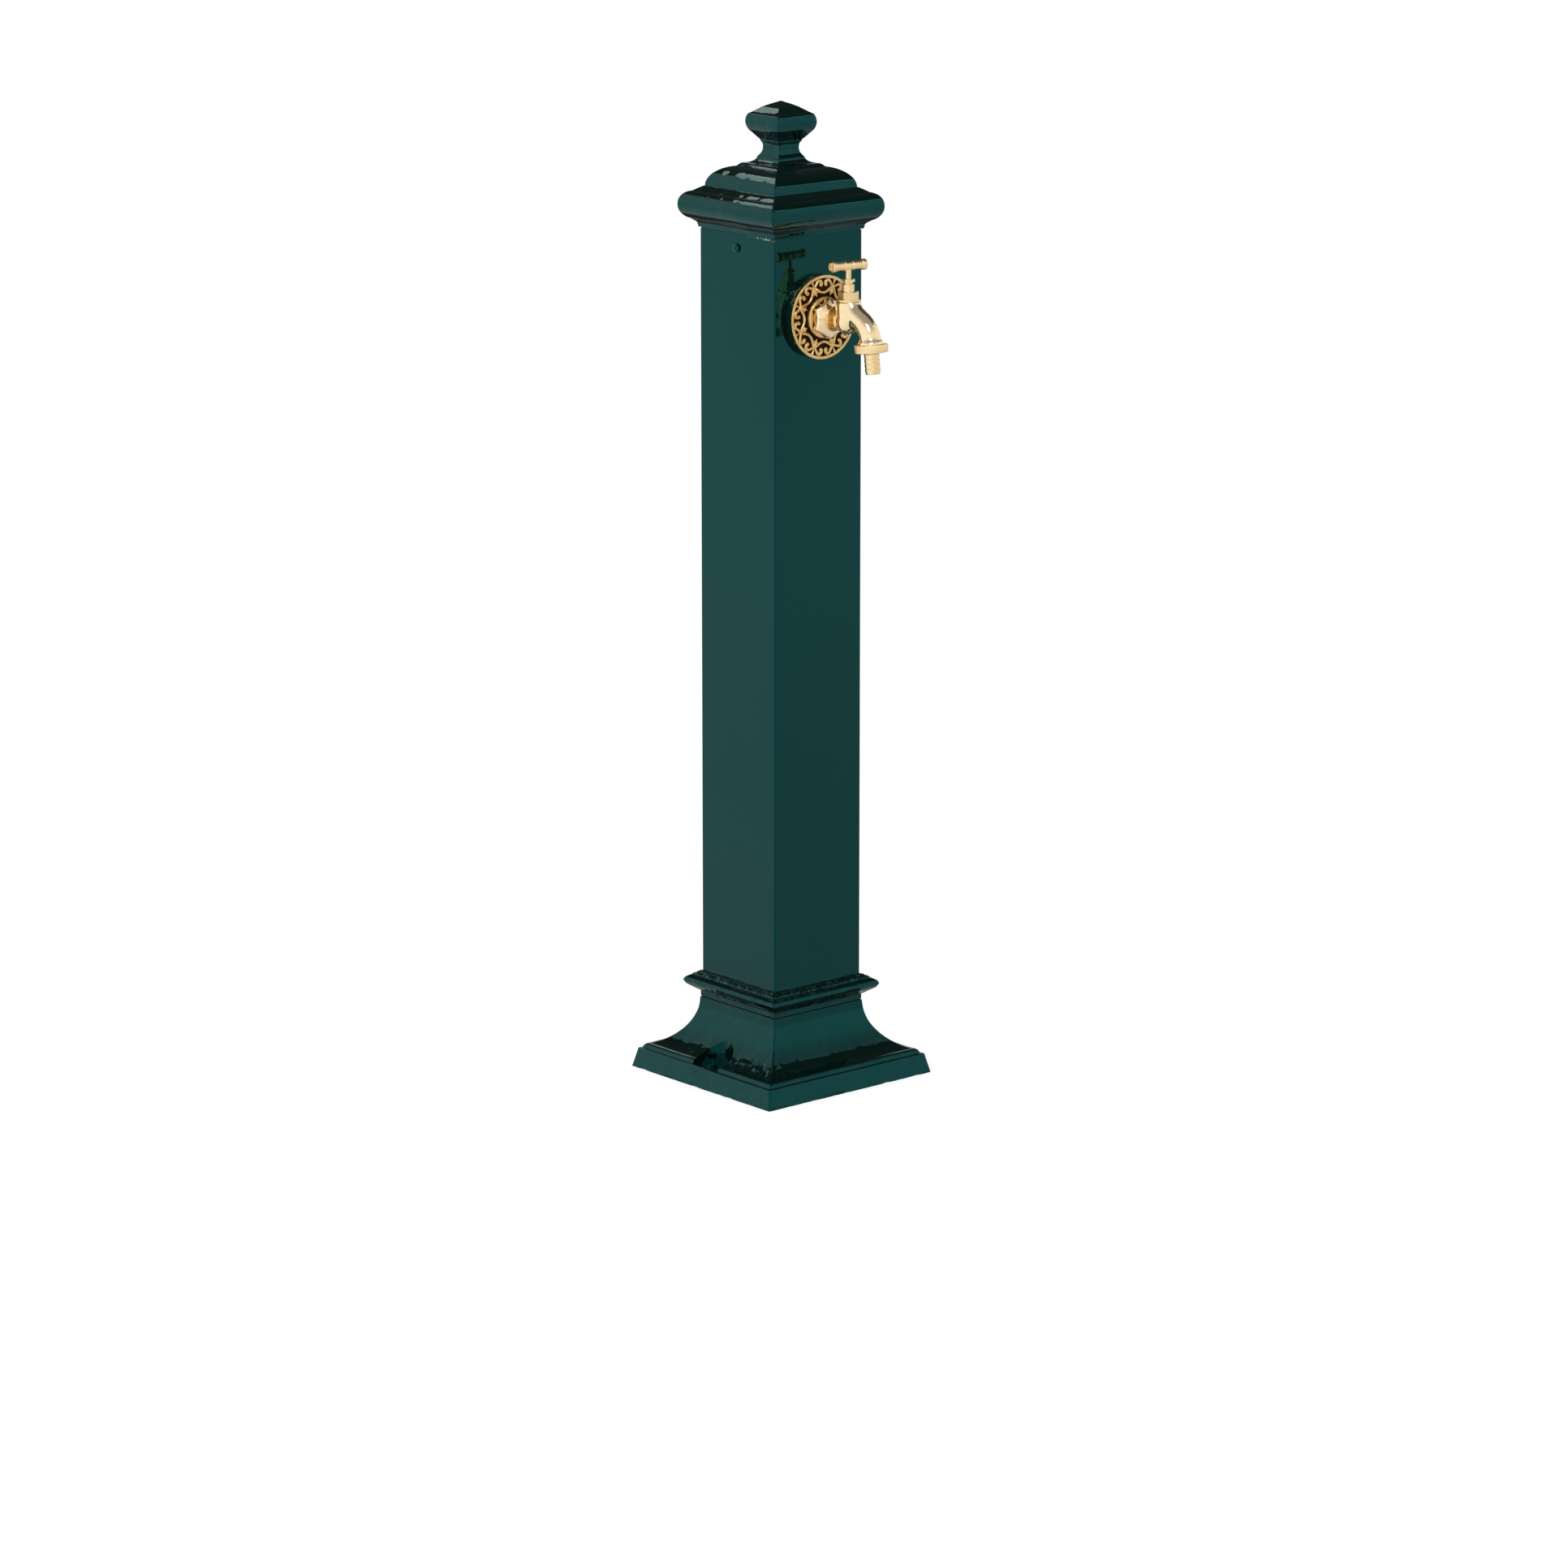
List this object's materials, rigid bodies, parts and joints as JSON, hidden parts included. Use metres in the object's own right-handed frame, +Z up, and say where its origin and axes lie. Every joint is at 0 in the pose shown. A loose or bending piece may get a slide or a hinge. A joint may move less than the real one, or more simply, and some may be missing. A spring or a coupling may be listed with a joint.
{
  "type": "garden standpipe",
  "caption": "Square garden standpipe: painted column on a moulded foot, stepped cap with knob, and a brass bib tap with scroll rosette and barbed hose outlet.",
  "frame": {"origin": "on the column's axis at the underside of the foot, midway between the two anchor holes", "axes": "+Z up along the column, -Y towards the user on the tap's side"},
  "size_m": [0.2104, 0.2527, 0.9597],
  "materials": {
    "galvanised_steel": "dull galvanised",
    "enamelled_iron": "glossy dark green enamel on cast iron",
    "enamelled_steel": "glossy dark green enamel on steel",
    "painted_filler": "rough bead under glossy dark green enamel",
    "painted_screws": "glossy dark green enamel",
    "zinc_steel": "zinc plated",
    "relief_brass": "cast brass, dark painted ground and brushed relief",
    "polished_brass": "polished",
    "turned_brass": "turned, satin",
    "black_rubber": "matt",
    "fibre_seal": "matt red fibre",
    "packing": "matt greased cord"
  },
  "bodies": {
    "supply": {"supply_pipe": "galvanised_steel"},
    "column": {"base_foot": "enamelled_iron", "base_collar": "enamelled_iron", "collar_bead": "painted_filler", "column_tube": "enamelled_steel", "tube_screws": "zinc_steel", "pipe_guide": "zinc_steel", "guide_screws": "zinc_steel", "cap_casting": "enamelled_iron", "cap_screws": "painted_screws", "cap_finial": "enamelled_iron", "finial_stud": "zinc_steel", "finial_nut": "zinc_steel", "rosette": "relief_brass", "tap_body": "polished_brass", "inner_washer": "zinc_steel", "back_nut": "turned_brass", "wall_elbow": "turned_brass", "elbow_seal": "black_rubber", "elbow_nut": "turned_brass", "bonnet_seal": "fibre_seal", "bonnet": "turned_brass", "gland_packing": "packing", "gland_nut": "turned_brass"},
    "valve": {"jumper_valve": "turned_brass", "tap_washer": "black_rubber", "washer_nut": "turned_brass"},
    "headwork": {"spindle": "turned_brass", "t_handle": "turned_brass"},
    "hose_union": {"hose_tail": "turned_brass", "hose_washer": "black_rubber"},
    "union_nut": {"hose_nut": "turned_brass"}
  },
  "joints": [
    {"name": "column_lift", "type": "slide", "parent": "supply", "child": "column", "axis": [0, 0, 1], "range_m": [0, 0.24]},
    {"name": "valve_rise", "type": "slide", "parent": "column", "child": "valve", "axis": [0, 0, 1], "range_m": [0, 0.0046]},
    {"name": "handle_turn", "type": "hinge", "parent": "valve", "child": "headwork", "pos_m": [0, -0.098, 0.8125], "axis": [0, 0, 1], "range_deg": [0, 810]},
    {"name": "tail_drop", "type": "slide", "parent": "column", "child": "hose_union", "axis": [0, -0.1219, -0.9925], "range_m": [0, 0.0055]},
    {"name": "nut_turn", "type": "hinge", "parent": "hose_union", "child": "union_nut", "pos_m": [0, -0.13033, 0.74292], "axis": [0, -0.1219, -0.9925], "range_deg": [0, 1080]}
  ],
  "couplings": [
    {"joint": "valve_rise", "follows": "handle_turn", "m_per_rad": 0.00031831},
    {"joint": "tail_drop", "follows": "nut_turn", "m_per_rad": 0.00028877}
  ]
}
